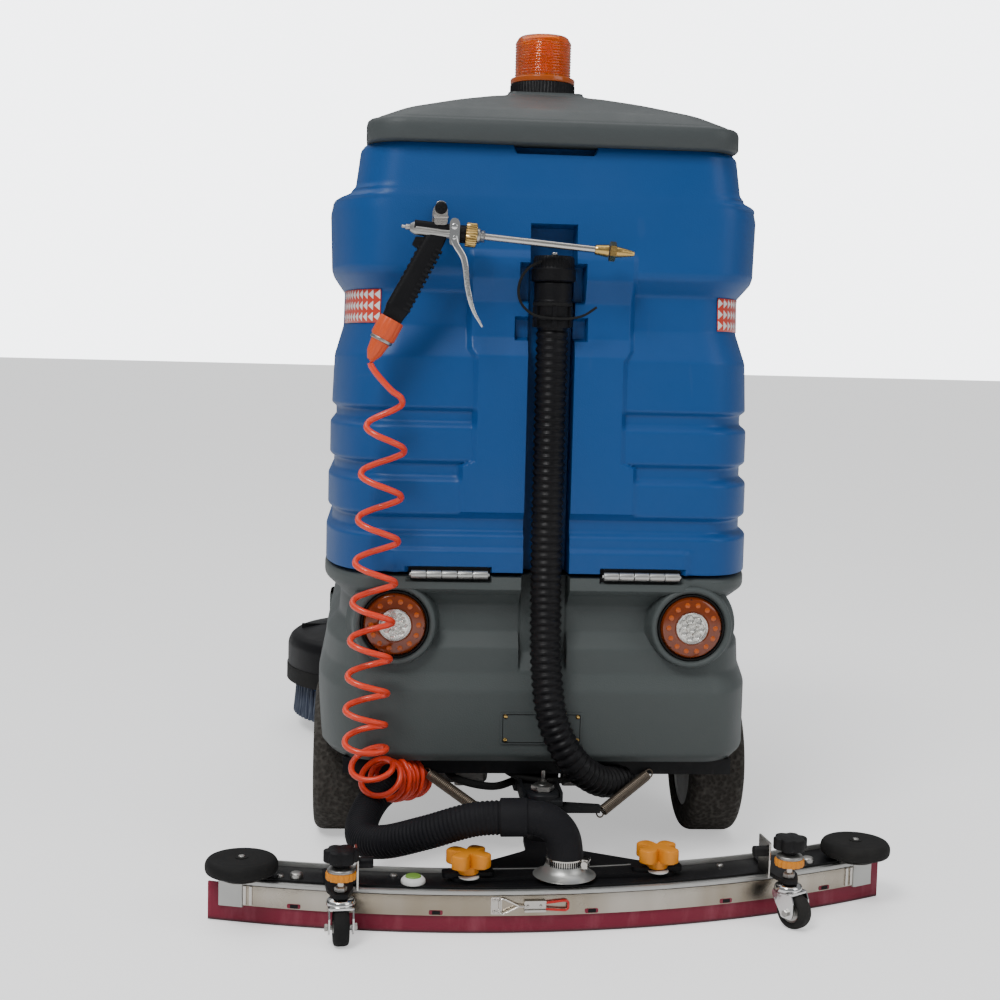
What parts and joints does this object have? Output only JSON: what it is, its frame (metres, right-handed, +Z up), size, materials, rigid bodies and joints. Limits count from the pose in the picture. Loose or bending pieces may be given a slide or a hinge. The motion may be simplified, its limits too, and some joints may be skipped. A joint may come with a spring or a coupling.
{
  "type": "ride on scrubber",
  "caption": "Driver-seated floor scrubber with disc brushes, tipping recovery tank, domed lid and beacon, spray gun on a coiled hose and a curved rear squeegee on casters.",
  "frame": {"origin": "on the floor, under the centre of the machine's bounding box (on the body's centreline within 12 mm)", "axes": "+X to the driver's right, +Y forwards, +Z up"},
  "size_m": [0.986, 1.83, 1.3028],
  "materials": {
    "frame_enamel": "satin black enamel",
    "grey_plastic": "rotomoulded, fine grain",
    "blue_plastic": "rotomoulded, fine grain",
    "black_plastic": "satin",
    "cast_aluminium": "as cast",
    "amber_lens": "glossy lens",
    "grey_plate": "satin",
    "stainless": "polished",
    "clear_lens": "clear",
    "black_rubber": "semi matt",
    "seat_vinyl": "grained vinyl",
    "vermilion_plastic": "glossy",
    "burgundy_rubber": "smooth",
    "tyre_rubber": "textured non-marking",
    "red_plastic": "glossy",
    "chrome_trim": "polished",
    "yellow_plastic": "satin"
  },
  "bodies": {
    "chassis": {"chassis_frame": "frame_enamel", "rear_housing": "grey_plastic", "front_body": "blue_plastic", "dash_panel": "black_plastic", "transaxle": "cast_aluminium", "battery_pack": "black_plastic", "vacuum_motor": "cast_aluminium", "tail_light_left": "amber_lens", "tail_light_right": "amber_lens", "name_plate": "grey_plate", "tank_hinge_left": "stainless", "tank_hinge_right": "stainless", "headlight": "clear_lens", "drain_hose": "black_rubber"},
    "tank": {"recovery_tank": "blue_plastic", "seat_pan": "black_plastic", "seat_cushion": "seat_vinyl", "seat_back": "seat_vinyl", "gun_bracket": "stainless", "gun_body": "black_plastic", "gun_lance": "stainless", "hose_connector": "vermilion_plastic", "coil_hose": "vermilion_plastic", "drain_cuff": "black_rubber"},
    "lid": {"tank_lid": "grey_plastic", "beacon_base": "black_plastic", "beacon_lens": "amber_lens"},
    "squeegee_arm": {"squeegee_arm": "frame_enamel", "lift_spring_left": "stainless", "lift_spring_right": "stainless"},
    "squeegee": {"squeegee_frame": "frame_enamel", "squeegee_band": "stainless", "rear_blade": "burgundy_rubber", "front_blade": "burgundy_rubber", "suction_outlet": "black_rubber", "suction_hose": "black_rubber"},
    "rear_wheel_left": {"rear_wheel_left": "tyre_rubber"},
    "rear_wheel_right": {"rear_wheel_right": "tyre_rubber"},
    "front_fork": {"front_fork": "frame_enamel"},
    "front_wheel": {"front_wheel": "tyre_rubber"},
    "steering_wheel": {"steering_wheel": "black_plastic"},
    "accelerator_pedal": {"accelerator_pedal": "black_rubber"},
    "emergency_stop": {"emergency_stop": "red_plastic"},
    "key_switch": {"key_switch": "stainless"},
    "brush_deck": {"brush_deck": "black_plastic"},
    "brush_left": {"brush_left": "black_rubber"},
    "brush_right": {"brush_right": "black_rubber"},
    "gun_trigger": {"gun_trigger": "chrome_trim"},
    "drain_cap": {"drain_cap": "black_rubber"},
    "end_roller_left": {"end_roller_left": "black_rubber"},
    "end_roller_right": {"end_roller_right": "black_rubber"},
    "caster_fork_left": {"caster_fork_left": "chrome_trim"},
    "caster_fork_right": {"caster_fork_right": "chrome_trim"},
    "caster_wheel_left": {"caster_wheel_left": "black_rubber"},
    "caster_wheel_right": {"caster_wheel_right": "black_rubber"},
    "wing_knob_left": {"wing_knob_left": "yellow_plastic"},
    "wing_knob_right": {"wing_knob_right": "yellow_plastic"},
    "caster_knob_left": {"caster_knob_left": "yellow_plastic"},
    "caster_knob_right": {"caster_knob_right": "yellow_plastic"},
    "band_latch": {"band_latch": "stainless"}
  },
  "joints": [
    {"name": "rear_wheel_left_spin", "type": "hinge", "parent": "chassis", "child": "rear_wheel_left", "pos_m": [-0.306, -0.35, 0.125], "axis": [-1, 0, 0], "continuous": true},
    {"name": "rear_wheel_right_spin", "type": "hinge", "parent": "chassis", "child": "rear_wheel_right", "pos_m": [0.306, -0.35, 0.125], "axis": [-1, 0, 0], "continuous": true},
    {"name": "steer", "type": "hinge", "parent": "chassis", "child": "front_fork", "pos_m": [0, 0.695, 0.2], "axis": [0, 0, 1], "range_deg": [-75, 75]},
    {"name": "front_wheel_spin", "type": "hinge", "parent": "front_fork", "child": "front_wheel", "pos_m": [0, 0.695, 0.125], "axis": [-1, 0, 0], "continuous": true},
    {"name": "steering_wheel_turn", "type": "hinge", "parent": "chassis", "child": "steering_wheel", "pos_m": [0, 0.552, 1.026], "axis": [0, -0.5, 0.866], "range_deg": [-150, 150]},
    {"name": "accelerator_press", "type": "hinge", "parent": "chassis", "child": "accelerator_pedal", "pos_m": [0.095, 0.474, 0.372], "axis": [-1, 0, 0], "range_deg": [0, 18], "stiffness_Nm_per_rad": 4},
    {"name": "emergency_stop_press", "type": "slide", "parent": "chassis", "child": "emergency_stop", "axis": [0, 0.4131, -0.9107], "range_m": [0, 0.006]},
    {"name": "key_turn", "type": "hinge", "parent": "chassis", "child": "key_switch", "pos_m": [-0.12, 0.716, 0.99662], "axis": [0, -0.4131, 0.9107], "range_deg": [0, 90]},
    {"name": "deck_lower", "type": "slide", "parent": "chassis", "child": "brush_deck", "axis": [0, 0, -1], "range_m": [0, 0.0315]},
    {"name": "brush_left_spin", "type": "hinge", "parent": "brush_deck", "child": "brush_left", "pos_m": [-0.215, 0.39, 0.08], "axis": [0, 0, 1], "continuous": true},
    {"name": "brush_right_spin", "type": "hinge", "parent": "brush_deck", "child": "brush_right", "pos_m": [0.215, 0.39, 0.08], "axis": [0, 0, 1], "continuous": true},
    {"name": "tank_tip", "type": "hinge", "parent": "chassis", "child": "tank", "pos_m": [0, -0.608, 0.4625], "axis": [1, 0, 0], "range_deg": [0, 65], "deforming": ["drain_hose", "coil_hose"]},
    {"name": "lid_open", "type": "hinge", "parent": "tank", "child": "lid", "pos_m": [0, -0.112, 1.1003], "axis": [-1, 0, 0], "range_deg": [0, 85]},
    {"name": "trigger_pull", "type": "hinge", "parent": "tank", "child": "gun_trigger", "pos_m": [-0.148, -0.667, 0.968], "axis": [0, 1, 0], "range_deg": [0, 15], "stiffness_Nm_per_rad": 0.8},
    {"name": "drain_cap_pull", "type": "slide", "parent": "tank", "child": "drain_cap", "axis": [0, 0, 1], "range_m": [0, 0.04]},
    {"name": "squeegee_lift", "type": "hinge", "parent": "chassis", "child": "squeegee_arm", "pos_m": [0, -0.44, 0.14], "axis": [-1, 0, 0], "range_deg": [0, 12], "deforming": ["suction_hose", "lift_spring_left", "lift_spring_right"]},
    {"name": "squeegee_swivel", "type": "hinge", "parent": "squeegee_arm", "child": "squeegee", "pos_m": [0, -0.64, 0.09], "axis": [0, 0, 1], "range_deg": [-25, 15], "stiffness_Nm_per_rad": 20, "deforming": ["suction_hose"]},
    {"name": "end_roller_left_spin", "type": "hinge", "parent": "squeegee", "child": "end_roller_left", "pos_m": [-0.43157, -0.8078, 0.097], "axis": [0, 0, 1], "continuous": true},
    {"name": "caster_left_swivel", "type": "hinge", "parent": "squeegee", "child": "caster_fork_left", "pos_m": [-0.29367, -0.87759, 0.06], "axis": [0, 0, 1], "continuous": true},
    {"name": "caster_left_wheel_spin", "type": "hinge", "parent": "caster_fork_left", "child": "caster_wheel_left", "pos_m": [-0.29259, -0.88954, 0.025], "axis": [-0.9959, -0.0906, 0], "continuous": true},
    {"name": "wing_knob_left_turn", "type": "hinge", "parent": "squeegee", "child": "wing_knob_left", "pos_m": [-0.12022, -0.80859, 0.09], "axis": [0, 0, 1], "range_deg": [-180, 180]},
    {"name": "caster_knob_left_turn", "type": "hinge", "parent": "squeegee", "child": "caster_knob_left", "pos_m": [-0.29367, -0.87759, 0.095], "axis": [0, 0, 1], "range_deg": [-180, 180]},
    {"name": "end_roller_right_spin", "type": "hinge", "parent": "squeegee", "child": "end_roller_right", "pos_m": [0.45477, -0.72714, 0.097], "axis": [0, 0, 1], "continuous": true},
    {"name": "caster_right_swivel", "type": "hinge", "parent": "squeegee", "child": "caster_fork_right", "pos_m": [0.33174, -0.82068, 0.06], "axis": [0, 0, 1], "continuous": true},
    {"name": "caster_right_wheel_spin", "type": "hinge", "parent": "caster_fork_right", "child": "caster_wheel_right", "pos_m": [0.33866, -0.83048, 0.025], "axis": [-0.8171, -0.5764, 0], "continuous": true},
    {"name": "wing_knob_right_turn", "type": "hinge", "parent": "squeegee", "child": "wing_knob_right", "pos_m": [0.14867, -0.78412, 0.09], "axis": [0, 0, 1], "range_deg": [-180, 180]},
    {"name": "caster_knob_right_turn", "type": "hinge", "parent": "squeegee", "child": "caster_knob_right", "pos_m": [0.33174, -0.82068, 0.095], "axis": [0, 0, 1], "range_deg": [-180, 180]},
    {"name": "band_latch_open", "type": "hinge", "parent": "squeegee", "child": "band_latch", "pos_m": [-0.06846, -0.85869, 0.045], "axis": [0, 0, -1], "range_deg": [0, 110]}
  ],
  "couplings": [
    {"joint": "steering_wheel_turn", "follows": "steer", "ratio": 2}
  ]
}
